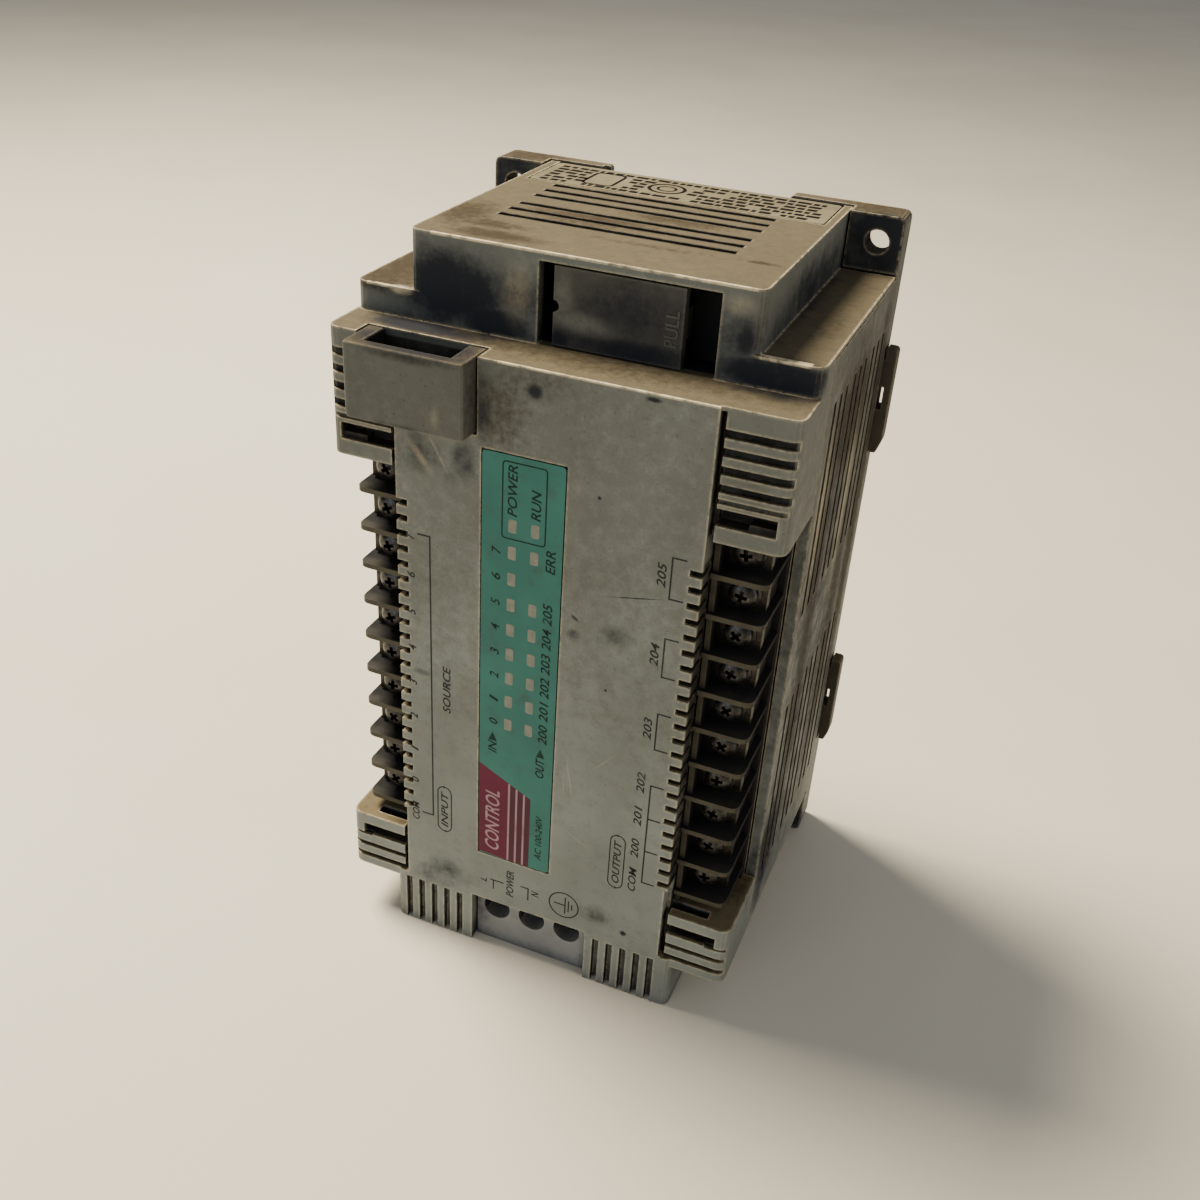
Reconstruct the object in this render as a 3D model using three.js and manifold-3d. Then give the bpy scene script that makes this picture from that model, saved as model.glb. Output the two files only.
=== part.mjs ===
// A compact programmable controller that clips onto a 35 mm DIN rail, standing on its power-terminal end.
// Millimetres, +Z up along the long axis, front panel facing -Y, right-hand (output) side at +X.
// The model is built about the panel's own plane and then shifted, so that the origin of the exported group
// is the centre of the bounding box's bottom face.
import * as THREE from 'three';
import { mergeVertices } from 'three/addons/utils/BufferGeometryUtils.js';
import Module from 'manifold-3d';

const wasm = await Module();
wasm.setup();

// ---------------------------------------------------------------- driving dimensions
const HALF_W = 40;            // case half-width across the terminals
const DEPTH = 69.4;           // panel surface to the rear mounting face
const EAR_TOP = 140.6;        // highest point, the two upper ears
const EAR_FRONT = 62.3;       // front faces of the four ears
const TOP = 140.3;            // top surface of the upper section
const SHOULDER = 130.2;       // upper shoulders, beside the upper section
const LEDGE = 125.3;          // ledge between the panel and the step wall
const STEP_Y = 10.1;          // step wall behind the ledge
const SECTION = 29.8;         // half-width of the upper and lower end sections
const BASE_SHOULDER = 10.3;   // lower shoulders
const PANEL_HALF = 27.5;      // half-width of the front panel
const PANEL_BOTTOM = 12.2;    // lower edge of the front panel
const SEAM_Y = 17.7;          // where the rear base's side walls begin
const WALL = 2;               // moulded wall thickness
const GAP = 0.3;              // clearance between separate pieces
const CHANNEL_HALF = 18;      // DIN rail channel half-width
const CHANNEL_Y = 66.4;       // floor of the DIN rail channel
const BACK_Y = 63.4;          // inner face of the rear base's back wall
const BLOCK_Y = 0.6;          // front face of the grooved end blocks
const RIB_PITCH = 3;          // pitch of the block grooves and comb notches
const FLUTE_PITCH = 2.85;     // pitch of the flutes on the feet
const TERMINAL_PITCH = 7.62;  // screw terminal pitch
const TERMINALS = 10;         // terminals on each side
const TROUGH_TOP = 102.8;     // upper end of the terminal troughs
const TROUGH_BOTTOM = 23.4;   // lower end of the terminal troughs
const FIRST_FIN = 95.1;       // centre height of the highest barrier fin
const FIN_THICK = 1;
const FIN_FRONT = 3.5;        // front edge of the fins
const FIN_OUTER = 37.6;       // outer edge of the fins
const BLOCK_INNER = 27.8;     // inner edge of the terminal blocks
const CORE_OUTER = 36.3;      // outer face of the terminal blocks' core
const PLATE_Y = 8;            // face that the terminal screws clamp to
const SCREW_X = 32.7;         // distance of the terminal screws from the middle plane
const LATCH_HEIGHTS = { upper: 105.15, lower: 35.15 };
const LATCH_TIP = 42.3;       // outer tip of the DIN latches
const EAR_HOLE = { x: 35.6, z: 135.75, r: 2.2 };
const BIG = 200;              // longer than the object, for cuts that go right through

const COLOURS = {
  shell: 0x9c9686, base: 0x8f897a, terminal: 0x6e6a60, cover: 0x8b867a, latch: 0x5c574c, label: 0x57a291,
  rating: 0xc9c4b0, board: 0x2f6a3c, relay: 0x2b2c30, coil: 0xb88a3a, can: 0x30466e, chip: 0x1d1d1f,
  screw: 0xa7a8a6, guide: 0xd8b8ae, plug: 0x26272a,
};

// ---------------------------------------------------------------- solids
function solid(geometry) {
  const bare = geometry.clone();
  bare.deleteAttribute('normal');
  bare.deleteAttribute('uv');
  const merged = mergeVertices(bare, 1e-5);
  return new wasm.Manifold(new wasm.Mesh({
    numProp: 3,
    vertProperties: new Float32Array(merged.attributes.position.array),
    triVerts: new Uint32Array(merged.index.array),
  }));
}

// A box from its exact limits, so that faces given the same number lie in the same plane.
function box(x0, x1, y0, y1, z0, z1) {
  const geometry = new THREE.BoxGeometry(1, 1, 1);
  const corners = geometry.attributes.position;
  for (let i = 0; i < corners.count; i += 1) {
    corners.setXYZ(i, corners.getX(i) < 0 ? x0 : x1, corners.getY(i) < 0 ? y0 : y1, corners.getZ(i) < 0 ? z0 : z1);
  }
  return solid(geometry);
}

// An outline of corners [u, v, radius], each rounded by its own radius.
function outline(corners, segments = 4) {
  const points = [];
  corners.forEach(([u, v, r = 0], i) => {
    const here = new THREE.Vector2(u, v);
    if (!r) {
      points.push(here);
      return;
    }
    const [pu, pv] = corners[(i + corners.length - 1) % corners.length];
    const [nu, nv] = corners[(i + 1) % corners.length];
    const toPrev = new THREE.Vector2(pu - u, pv - v).normalize();
    const toNext = new THREE.Vector2(nu - u, nv - v).normalize();
    const start = here.clone().addScaledVector(toPrev, r);
    const end = here.clone().addScaledVector(toNext, r);
    const curve = new THREE.QuadraticBezierCurve(start, here, end);
    points.push(...curve.getPoints(segments));
  });
  return new THREE.Shape(points);
}

// A prism along an axis: 'z' takes outlines in (x, y) and 'y' takes them in (x, z).
function prism(axis, corners, from, to, segments) {
  const geometry = new THREE.ExtrudeGeometry(outline(corners, segments), { depth: 1, bevelEnabled: false });
  const points = geometry.attributes.position;
  for (let i = 0; i < points.count; i += 1) {
    const [u, v, far] = [points.getX(i), points.getY(i), points.getZ(i) > 0.5];
    if (axis === 'y') points.setXYZ(i, u, far ? from : to, v);
    if (axis === 'z') points.setXYZ(i, u, v, far ? to : from);
  }
  return solid(geometry);
}

// A cylinder along Y, from y0 to y1.
function rod(x, z, r, y0, y1, sides = 20) {
  const geometry = new THREE.CylinderGeometry(r, r, y1 - y0, sides);
  geometry.translate(x, (y0 + y1) / 2, z);
  return solid(geometry);
}

const join = (...pieces) => pieces.flat().reduce((sum, piece) => sum.add(piece));
const cut = (body, ...tools) => tools.flat().reduce((rest, tool) => rest.subtract(tool), body);
const count = (n) => Array.from({ length: n }, (_, i) => i);
const mirrored = (make) => [1, -1].map((side) => make(side));

// A box given by its extent to the outer side of x = 0: side is +1 for the right and -1 for the left.
function sideBox(side, x0, x1, y0, y1, z0, z1) {
  return side > 0 ? box(x0, x1, y0, y1, z0, z1) : box(-x1, -x0, y0, y1, z0, z1);
}

// ---------------------------------------------------------------- assembly
const module = new THREE.Group();
const assembly = new THREE.Group();
module.add(assembly);

function add(name, body, colour, roughness = 0.6, metalness = 0) {
  const mesh = body.getMesh();
  const geometry = new THREE.BufferGeometry();
  geometry.setAttribute('position', new THREE.BufferAttribute(new Float32Array(mesh.vertProperties), 3));
  geometry.setIndex(new THREE.BufferAttribute(new Uint32Array(mesh.triVerts), 1));
  geometry.computeVertexNormals();
  const material = new THREE.MeshStandardMaterial({ color: colour, roughness, metalness });
  const part = new THREE.Mesh(geometry, material);
  part.name = name;
  assembly.add(part);
}

// ---------------------------------------------------------------- shared places
const LABEL = { x0: -11.3, x1: 3.6, z0: 24.2, z1: 110 };
const RATING = { x0: -27.8, x1: 28, y0: 51, y1: 65.6 };
const FILM = 0.3;                                      // thickness of the two labels
const HOOD = { x0: -34.1, x1: -12.6, y0: -4.5, y1: 4.2, z0: 112.4, z1: LEDGE };
const RECESS = { x0: -6.8, x1: 23.1, z0: LEDGE, z1: 138.8, y1: 17 };  // expansion port behind the step wall
const COVER = { x0: -4.2, x1: 17.5, thick: 1.8 };
const POWER = { x0: -12.6, x1: 11.9, y0: 2, screws: [-7.97, -0.35, 7.27], z: 8.8 };
const GUIDE_SLOTS = [-6.9, -0.6];                      // the two columns of indicator lights
const GUIDE = { half: 1.6, z0: 52, z1: 98 };
const finHeight = (i) => FIRST_FIN - TERMINAL_PITCH * i;
const screwHeight = (i) => finHeight(i) + TERMINAL_PITCH / 2;

// Nine ventilation slots in three groups of three, along a run that starts at `from`.
function ventRun(from) {
  const [inGroup, group] = [4.1, 14.4];
  return count(9).map((i) => from + inGroup * (i % 3) + group * Math.floor(i / 3));
}

// ---------------------------------------------------------------- front case
function frontCase() {
  const corner = 2.2;
  const outer = [
    box(-PANEL_HALF, PANEL_HALF, 0, SEAM_Y + WALL, PANEL_BOTTOM, LEDGE),
    // upper end blocks and the step above them, with rounded outer front corners
    prism('z', [[-HALF_W, BLOCK_Y, corner], [HALF_W, BLOCK_Y, corner], [HALF_W, SEAM_Y - GAP],
      [-HALF_W, SEAM_Y - GAP]], TROUGH_TOP, LEDGE),
    prism('z', [[-HALF_W, STEP_Y, corner], [HALF_W, STEP_Y, corner], [HALF_W, SEAM_Y - GAP],
      [-HALF_W, SEAM_Y - GAP]], LEDGE - 1, SHOULDER),
    // lower end blocks
    prism('z', [[-HALF_W, BLOCK_Y, corner], [HALF_W, BLOCK_Y, corner], [HALF_W, SEAM_Y - GAP],
      [-HALF_W, SEAM_Y - GAP]], BASE_SHOULDER, TROUGH_BOTTOM),
    // strips inside the rear base's side walls, and the thin lips that cover those walls' ends
    ...mirrored((side) => [[SEAM_Y, BASE_SHOULDER, SHOULDER], [SEAM_Y - 1, BASE_SHOULDER, TROUGH_BOTTOM],
      [SEAM_Y - 1, TROUGH_TOP, SHOULDER]].map(([y0, z0, z1]) =>
      sideBox(side, PANEL_HALF - WALL, HALF_W - WALL - GAP, y0, SEAM_Y + WALL, z0, z1))).flat(),
    ...mirrored((side) => sideBox(side, SECTION - 2, HALF_W - WALL - GAP, SEAM_Y, 62, SHOULDER - WALL, SHOULDER)),
    ...mirrored((side) => sideBox(side, SECTION - 2, HALF_W, SEAM_Y - 1, 62, SHOULDER - 0.6, SHOULDER)),
    ...mirrored((side) => sideBox(side, SECTION - 2, HALF_W - WALL - GAP, SEAM_Y, 62, BASE_SHOULDER,
      BASE_SHOULDER + WALL)),
    ...mirrored((side) => sideBox(side, SECTION - 2, HALF_W, SEAM_Y - 1, 62, BASE_SHOULDER, BASE_SHOULDER + 0.6)),
    // upper section and lower section
    prism('z', [[-SECTION, STEP_Y, 2], [SECTION, STEP_Y, 2], [SECTION, CHANNEL_Y - GAP],
      [-SECTION, CHANNEL_Y - GAP]], LEDGE - 1, TOP),
    prism('z', [[-SECTION, 0, 2], [SECTION, 0, 2], [SECTION, CHANNEL_Y - GAP],
      [-SECTION, CHANNEL_Y - GAP]], 0, PANEL_BOTTOM + 1),
  ];
  const inner = [
    box(-24, 24, WALL, 80, 14.2, LEDGE - WALL),
    box(-HALF_W, HALF_W, SEAM_Y + WALL, 80, BASE_SHOULDER + WALL, SHOULDER - WALL),
    box(-HALF_W + WALL + GAP, HALF_W - WALL - GAP, BLOCK_Y + 4.4, 80, TROUGH_TOP + WALL, LEDGE - WALL),
    box(-HALF_W + WALL + GAP, HALF_W - WALL - GAP, STEP_Y + WALL, 80, LEDGE - 3, SHOULDER - WALL),
    box(-HALF_W + WALL + GAP, HALF_W - WALL - GAP, BLOCK_Y + 4.4, 80, BASE_SHOULDER + WALL, TROUGH_BOTTOM - WALL),
    box(-SECTION + WALL, SECTION - WALL, STEP_Y + WALL, 80, LEDGE - 3, TOP - WALL),
    box(-SECTION + WALL, SECTION - WALL, 20, 80, WALL, 16),
    box(-SECTION + WALL, POWER.x0 - WALL, 4, 21, WALL, 16),
    box(POWER.x1 + WALL, SECTION - WALL, 4, 21, WALL, 16),
  ];
  // walls round the loader port and round the expansion port
  const pockets = [
    box(HOOD.x0 - 2.3, HOOD.x1 + 2.3, 1, 6.8, HOOD.z0 - 2.3, LEDGE),
    box(RECESS.x0 - WALL, RECESS.x1 + WALL, STEP_Y + 0.5, RECESS.y1 + WALL, RECESS.z0 - WALL, TOP - 1),
    box(POWER.x0 - WALL, POWER.x1 + WALL, POWER.y0, 21, 0, 14.5),
  ];
  const cuts = [
    box(HOOD.x0 - GAP, HOOD.x1 + GAP, -2, 4.5, HOOD.z0 - GAP, LEDGE + 1),
    box(RECESS.x0, RECESS.x1, STEP_Y - 2, RECESS.y1, RECESS.z0, RECESS.z1),
    box(POWER.x0, POWER.x1, -1, 19, -1, PANEL_BOTTOM),
    box(LABEL.x0 - 0.15, LABEL.x1 + 0.15, -1, 2 * FILM, LABEL.z0 - 0.15, LABEL.z1 + 0.15),
    box(RATING.x0 - 0.15, RATING.x1 + 0.15, RATING.y0 - 0.15, CHANNEL_Y, TOP - 2 * FILM, TOP + 1),
    ...GUIDE_SLOTS.map((x) => box(x - GUIDE.half, x + GUIDE.half, -1, 3, GUIDE.z0, GUIDE.z1)),
    ...ventRun(26.2).slice(0, 6).map((y) => box(-21.6, 20, y - 0.65, y + 0.65, TOP - 3, TOP + 1)),
    ...combNotches(), ...edgeGrooves(), ...upperBlockGrooves(), ...lowerBlockGrooves(), ...flutes(),
  ];
  return cut(join(cut(join(outer), inner), pockets), cuts);
}

// The comb of notches along both edges of the panel.
function combNotches() {
  const [first, depth, half] = [96.65, 2.1, 0.6];
  return mirrored((side) => count(23).map((i) => {
    const z = first - RIB_PITCH * i;
    return sideBox(side, PANEL_HALF - depth, PANEL_HALF + 1, -1, 4.5, z - half, z + half);
  })).flat();
}

// The deep grooves that part the panel from the end blocks.
function edgeGrooves() {
  return mirrored((side) => [
    sideBox(side, PANEL_HALF, PANEL_HALF + 0.9, -1, 3, TROUGH_TOP - 1, LEDGE - 0.7),
    sideBox(side, PANEL_HALF - 0.55, PANEL_HALF + 0.5, -1, 3, PANEL_BOTTOM + 0.5, 29.3),
  ]).flat();
}

const BLOCK_GROOVE = { inner: PANEL_HALF, outer: 39.6, y1: BLOCK_Y + 1.2 };

function upperBlockGrooves() {
  const { inner, outer, y1 } = BLOCK_GROOVE;
  return mirrored((side) => [
    ...count(4).map((i) => 121.1 - RIB_PITCH * i).map((z) => sideBox(side, inner, outer, -1, y1, z - 0.7, z + 0.7)),
    sideBox(side, inner, outer, -1, BLOCK_Y + 0.7, 109.5, 110.3),
    sideBox(side, inner + 0.8, 38.1, -1, BLOCK_Y + 3.2, 106.7, 108.7),
    sideBox(side, inner + 0.8, 33.6, -1, BLOCK_Y + 3.2, 105.7, 108.7),
    sideBox(side, inner + 0.8, 38.1, -1, BLOCK_Y + 1, 105.7, 108.7),
  ]).flat();
}

function lowerBlockGrooves() {
  const { inner, outer, y1 } = BLOCK_GROOVE;
  return mirrored((side) => [
    sideBox(side, inner, 37.4, -1, BLOCK_Y + 3, 18.5, 21),
    sideBox(side, 35.5, outer, -1, y1, 18.1, 18.6),
    sideBox(side, inner, outer, -1, y1, 15.2, 16.2),
    sideBox(side, inner, outer, -1, y1, 12.3, 13.4),
    sideBox(side, inner, 35, 2.6, 4.6, 21.6, 25),
  ]).flat();
}

// Vertical flutes on the two feet either side of the power terminals.
function flutes() {
  const [firstLeft, firstRight, half] = [-26.8, 14.2, 0.65];
  const centres = [firstLeft, firstRight].map((x) => count(5).map((i) => x + FLUTE_PITCH * i)).flat();
  return centres.map((x) => box(x - half, x + half, -1, 1.3, -1, PANEL_BOTTOM - 0.9));
}

// ---------------------------------------------------------------- rear base
function rearBase() {
  const earInner = SECTION + GAP;
  const shell = [
    box(-HALF_W, HALF_W, BACK_Y, CHANNEL_Y, BASE_SHOULDER + WALL + GAP, SHOULDER - WALL - GAP),
    box(-SECTION + WALL + GAP, SECTION - WALL - GAP, BACK_Y, CHANNEL_Y - GAP, WALL + GAP, TOP - WALL - GAP),
    ...mirrored((side) => sideBox(side, HALF_W - WALL, HALF_W, SEAM_Y, CHANNEL_Y, BASE_SHOULDER + 0.9,
      SHOULDER - 0.9)),
    // mounting pads either side of the rail channel, which run on into the ears
    ...mirrored((side) => prism('y', padOutline(side), CHANNEL_Y - 0.01, DEPTH)),
    ...mirrored((side) => prism('y', earOutline(side, SHOULDER + GAP, EAR_TOP, earInner), EAR_FRONT, DEPTH)),
    ...mirrored((side) => prism('y', earOutline(side, 0, BASE_SHOULDER - GAP, earInner), EAR_FRONT, DEPTH)),
    // thinner links behind the shoulders, from the ears to the back wall
    ...mirrored((side) => sideBox(side, earInner, HALF_W, BACK_Y, DEPTH, SHOULDER - 3, SHOULDER + 1)),
    ...mirrored((side) => sideBox(side, earInner, HALF_W, BACK_Y, DEPTH, BASE_SHOULDER - 1, BASE_SHOULDER + 3)),
  ];
  const cuts = [
    ...ventSlots(), ...earHoles(), ...latchSlots(), ...padPockets(),
    // undercut that hooks over the rail's fixed edge
    box(-CHANNEL_HALF - 1.2, -CHANNEL_HALF + 1, CHANNEL_Y, CHANNEL_Y + 1.3, -1, BIG),
  ];
  return cut(join(shell), cuts);
}

function padOutline(side) {
  const ends = [[CHANNEL_HALF, 0, 0.8], [HALF_W, 0, 1.5], [HALF_W, EAR_TOP, 1.5], [CHANNEL_HALF, EAR_TOP, 0.8]];
  return side > 0 ? ends : ends.map(([x, z, r]) => [-x, z, r]).reverse();
}

function earOutline(side, z0, z1, earInner) {
  const high = z1 === EAR_TOP;
  const ends = [[earInner, z0], [HALF_W, z0, high ? 0 : 1.5], [HALF_W, z1, high ? 1.5 : 0], [earInner, z1]];
  return side > 0 ? ends : ends.map(([x, z, r]) => [-x, z, r]).reverse();
}

// A through hole in each ear's front web, with the ear hollowed from behind.
function earHoles() {
  const web = 5;
  return [EAR_HOLE.z, EAR_TOP - EAR_HOLE.z].map((z) => mirrored((side) => [
    rod(side * EAR_HOLE.x, z, EAR_HOLE.r, 60, 72, 24),
    sideBox(side, EAR_HOLE.x - 3.7, EAR_HOLE.x + 2.9, EAR_FRONT + web, 72, z - 3.2, z + 3.4),
  ])).flat(2);
}

function ventSlots() {
  const rows = [[20.5, 61], [80.6, 120.5]];
  return mirrored((side) => ventRun(22.6).map((y) => rows.map(([z0, z1]) =>
    sideBox(side, HALF_W - WALL - 1, HALF_W + 1, y - 0.75, y + 0.75, z0, z1)))).flat(2);
}

// Each DIN latch runs in a T-shaped slot that opens to the rear and to the right-hand side.
function latchSlots() {
  return Object.values(LATCH_HEIGHTS).map((z) => [
    box(CHANNEL_HALF - 1, HALF_W + 1, 64.9, 67.2, z - 10.8, z + 10.8),
    box(CHANNEL_HALF - 1, HALF_W + 1, 66, 72, z - 8.8, z + 8.8),
  ]).flat();
}

// Shallow pockets that lighten the rear pads.
function padPockets() {
  const left = count(5).map((i) => box(-36.5, -22, 67.6, 72, 17 + 22 * i, 35 + 22 * i));
  const right = [box(22, 36.5, 67.6, 72, 51, 69), box(22, 36.5, 67.6, 72, 73, 90)];
  return [...left, ...right];
}

// ---------------------------------------------------------------- DIN latches
function dinLatch(z) {
  const slide = join(
    box(19, 38.6, 65.2, 66.9, z - 10.5, z + 10.5),
    box(17.4, 40.8, 65.2, 69.1, z - 8.5, z + 8.5),
    box(16.2, 18, 67.2, 69.1, z - 8.5, z + 8.5),
    // the pull tab outside the case, its lower corner cut back
    prism('y', [[40.3, z - 10.5], [LATCH_TIP - 0.9, z - 10.5, 0.4], [LATCH_TIP, z - 8, 0.9],
      [LATCH_TIP, z + 10.5, 0.9], [40.3, z + 10.5]], 65.2, 68.6),
  );
  const railLip = box(15, 17.7, 60, 67.7, z - 20, z + 20);
  const slit = box(40.05, 40.95, 60, 72, z - 1.5, z + 3);
  const groove = box(23, 34, 68, 72, z - 5, z + 5);
  return cut(slide, railLip, slit, groove);
}

// ---------------------------------------------------------------- screw terminals
// One side's terminal strip: a core with a barrier fin between every two screws.
function terminalBlock(side) {
  const [bottom, top] = [TROUGH_BOTTOM + GAP, TROUGH_TOP - GAP];
  const back = SEAM_Y - GAP;
  const fin = [[BLOCK_INNER, FIN_FRONT], [FIN_OUTER, FIN_FRONT, 1.8], [FIN_OUTER, back], [BLOCK_INNER, back]];
  const finHere = side > 0 ? fin : fin.map(([x, y, r]) => [-x, y, r]).reverse();
  const strip = [
    sideBox(side, BLOCK_INNER, CORE_OUTER, PLATE_Y, back, bottom, top),
    sideBox(side, BLOCK_INNER, BLOCK_INNER + 1, FIN_FRONT + 1, PLATE_Y + 1, bottom, top),
    sideBox(side, BLOCK_INNER, FIN_OUTER, 15.6, back, bottom, top),
    ...count(TERMINALS).map((i) =>
      prism('z', finHere, finHeight(i) - FIN_THICK / 2, finHeight(i) + FIN_THICK / 2)),
  ];
  const holes = count(TERMINALS).map((i) => rod(side * SCREW_X, screwHeight(i), 2, PLATE_Y - 1, 14.6, 12));
  return cut(join(strip), holes);
}

function powerTerminalBlock() {
  const body = box(POWER.x0 + GAP, POWER.x1 - GAP, POWER.y0, 18.7, 0, PANEL_BOTTOM - GAP);
  const wells = POWER.screws.map((x) => [
    rod(x, POWER.z, 2.8, 0, 6.4, 24),
    rod(x, POWER.z, 1.9, 5, 14, 12),
    box(x - 2.2, x + 2.2, 8, 12.5, -1, 3),
  ]).flat();
  return cut(body, wells);
}

// A pan-head screw with a cross recess, its head facing -Y.
function terminalScrew(x, z, head, headY) {
  const [shank, length] = [1.5, 5.2];
  const profile = [[0, 0], [head * 0.8, 0], [head, 0.8], [head, 2.1], [shank, 2.1], [shank, length], [0, length]];
  const geometry = new THREE.LatheGeometry(profile.map(([r, h]) => new THREE.Vector2(r, h)), 12);
  geometry.translate(x, headY, z);
  const body = solid(geometry);
  const recess = [box(x - 1.6, x + 1.6, headY - 1, headY + 0.9, z - 0.3, z + 0.3),
    box(x - 0.3, x + 0.3, headY - 1, headY + 0.9, z - 1.6, z + 1.6)];
  return cut(body, recess);
}

// ---------------------------------------------------------------- covers and labels
function expansionCover() {
  const [y0, y1] = [STEP_Y, STEP_Y + COVER.thick];
  const plate = box(COVER.x0, COVER.x1, y0, y1, RECESS.z0 + GAP, RECESS.z1 - GAP);
  const legs = [COVER.x0 + 0.4, COVER.x1 - 1.6].map((x) => box(x, x + 1.2, y1 - 0.5, 15.4, 129.5, 134.5));
  const notch = rod(COVER.x0, 132, 1, y0 - 1, y1 + 1, 12);
  return cut(join(plate, legs), notch);
}

function portHood() {
  const { x0, x1, y0, y1, z0, z1 } = HOOD;
  const shell = prism('z', [[x0, y0, 0.9], [x1, y0, 0.9], [x1, y1], [x0, y1]], z0, z1, 3);
  return cut(shell, box(x0 + 2.9, x1 - 3.2, y0 + 2.3, y1 + 1, z0 + WALL, z1 + 1));
}

// ---------------------------------------------------------------- inside
function lightGuide() {
  const bars = GUIDE_SLOTS.map((x) => box(x - 1.3, x + 1.3, 0.9, 2.4, GUIDE.z0 + GAP, GUIDE.z1 - GAP));
  return join(bars, box(GUIDE_SLOTS[0] - 1.3, GUIDE_SLOTS[1] + 1.3, 2.3, 3.4, GUIDE.z0 - 2, GUIDE.z1 + 2));
}

// Main board behind the panel, power board in front of the back wall.
const BOARD = { half: 35.5, z0: 24, z1: 117, main: 22, power: 57, thick: 1.6 };

function relay(i) {
  const z0 = 28 + 14.4 * i;
  const can = box(14, 32, BOARD.main + BOARD.thick + GAP, 38, z0, z0 + 11.5);
  return cut(can, box(15.5, 30.5, 37.4, 40, z0 + 1.5, z0 + 10));
}

function transformer() {
  const core = box(-32, -6, 38, BOARD.power - GAP, 30, 56);
  const bobbin = box(-28, -10, 35, 42, 34, 52);
  return join(core, bobbin);
}

// ---------------------------------------------------------------- parts list
add('front_case', frontCase(), COLOURS.shell, 0.62);
add('rear_base', rearBase(), COLOURS.base, 0.62);
add('port_hood', portHood(), COLOURS.shell, 0.6);
add('expansion_cover', expansionCover(), COLOURS.cover, 0.6);
add('indicator_label', box(LABEL.x0, LABEL.x1, 0, FILM, LABEL.z0, LABEL.z1), COLOURS.label, 0.45);
add('rating_label', box(RATING.x0, RATING.x1, RATING.y0, RATING.y1, TOP - FILM, TOP), COLOURS.rating, 0.5);

for (const [name, z] of Object.entries(LATCH_HEIGHTS)) {
  add(`din_latch_${name}`, dinLatch(z), COLOURS.latch, 0.55);
}

for (const [name, side] of [['input', -1], ['output', 1]]) {
  add(`${name}_terminal_block`, terminalBlock(side), COLOURS.terminal, 0.65);
  for (const i of count(TERMINALS)) {
    const number = String(i + 1).padStart(2, '0');
    add(`${name}_screw_${number}`, terminalScrew(side * SCREW_X, screwHeight(i), 2.75, 5.6), COLOURS.screw, 0.4, 0.9);
  }
}

add('power_terminal_block', powerTerminalBlock(), COLOURS.terminal, 0.65);
POWER.screws.forEach((x, i) => {
  add(`power_screw_${i + 1}`, terminalScrew(x, POWER.z, 2.3, 4), COLOURS.screw, 0.4, 0.9);
});

const { half, z0, z1, main, power, thick } = BOARD;
add('main_board', box(-half, half, main, main + thick, z0, z1), COLOURS.board, 0.5);
add('power_board', box(-half, half, power, power + thick, z0, z1), COLOURS.board, 0.5);
add('board_header', box(2, 10, main + thick + GAP, power - GAP, 96, 116), COLOURS.plug, 0.5);
for (const i of count(6)) {
  add(`output_relay_${i + 1}`, relay(i), COLOURS.relay, 0.4);
}
add('transformer', transformer(), COLOURS.coil, 0.6);
add('filter_capacitor_1', rod(-20, 72, 8, 32, power - GAP, 24), COLOURS.can, 0.35);
add('filter_capacitor_2', rod(-20, 92, 6.3, 36, power - GAP, 20), COLOURS.can, 0.35);
add('microcontroller', box(-22, -4, main + thick + GAP, main + thick + 3, 60, 78), COLOURS.chip, 0.4);
add('led_board', box(-10, 2.6, 3.7, 5.2, GUIDE.z0 - 4, GUIDE.z1 + 4), COLOURS.board, 0.5);
add('light_guide', lightGuide(), COLOURS.guide, 0.3);
add('expansion_connector', cut(box(-1, 14, 12.6, RECESS.y1 - GAP, 128.6, 135.6),
  box(0.5, 12.5, 11, 15.5, 130.4, 133.8)), COLOURS.plug, 0.45);
add('loader_connector', cut(box(-29, -18, -1.2, 3.6, HOOD.z0 + WALL + GAP, 118.4),
  box(-27.5, -19.5, 0, 2.4, 116, 120)), COLOURS.plug, 0.45);

// Put the middle of the bounding box's bottom face at the origin.
const bounds = new THREE.Box3().setFromObject(assembly);
const centre = bounds.getCenter(new THREE.Vector3());
assembly.position.set(-centre.x, -centre.y, -bounds.min.z);

export default module;
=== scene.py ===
"""Looks of the programmable controller: materials, printed marks, screws, floor, light and camera.

Everything is placed in the controller's own millimetres, with x from its middle plane, y back from the
panel's surface and z up from the floor. at() turns them into the row frame's metres.
"""

import math
import random

import bmesh
import bpy
from mathutils import Matrix, Vector


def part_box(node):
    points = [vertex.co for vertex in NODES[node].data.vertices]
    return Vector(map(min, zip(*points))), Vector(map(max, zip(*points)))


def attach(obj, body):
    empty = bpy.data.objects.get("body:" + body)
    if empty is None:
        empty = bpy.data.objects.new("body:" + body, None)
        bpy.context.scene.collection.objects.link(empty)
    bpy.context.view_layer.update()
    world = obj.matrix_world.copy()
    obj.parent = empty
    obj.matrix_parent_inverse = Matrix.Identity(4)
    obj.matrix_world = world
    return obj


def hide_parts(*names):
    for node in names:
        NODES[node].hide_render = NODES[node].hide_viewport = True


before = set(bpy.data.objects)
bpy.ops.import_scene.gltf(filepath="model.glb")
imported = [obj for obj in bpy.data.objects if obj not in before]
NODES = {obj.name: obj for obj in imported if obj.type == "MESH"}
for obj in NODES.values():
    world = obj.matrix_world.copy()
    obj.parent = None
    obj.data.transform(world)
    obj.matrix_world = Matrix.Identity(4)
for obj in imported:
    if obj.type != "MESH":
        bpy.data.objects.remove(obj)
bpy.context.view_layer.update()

MM = 0.001

# ------------------------------------------------------------------ places taken from the frame
case_low, case_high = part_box("front_case")
MIDDLE = (case_low[0] + case_high[0]) / 2
PANEL = case_low[1]


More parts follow.
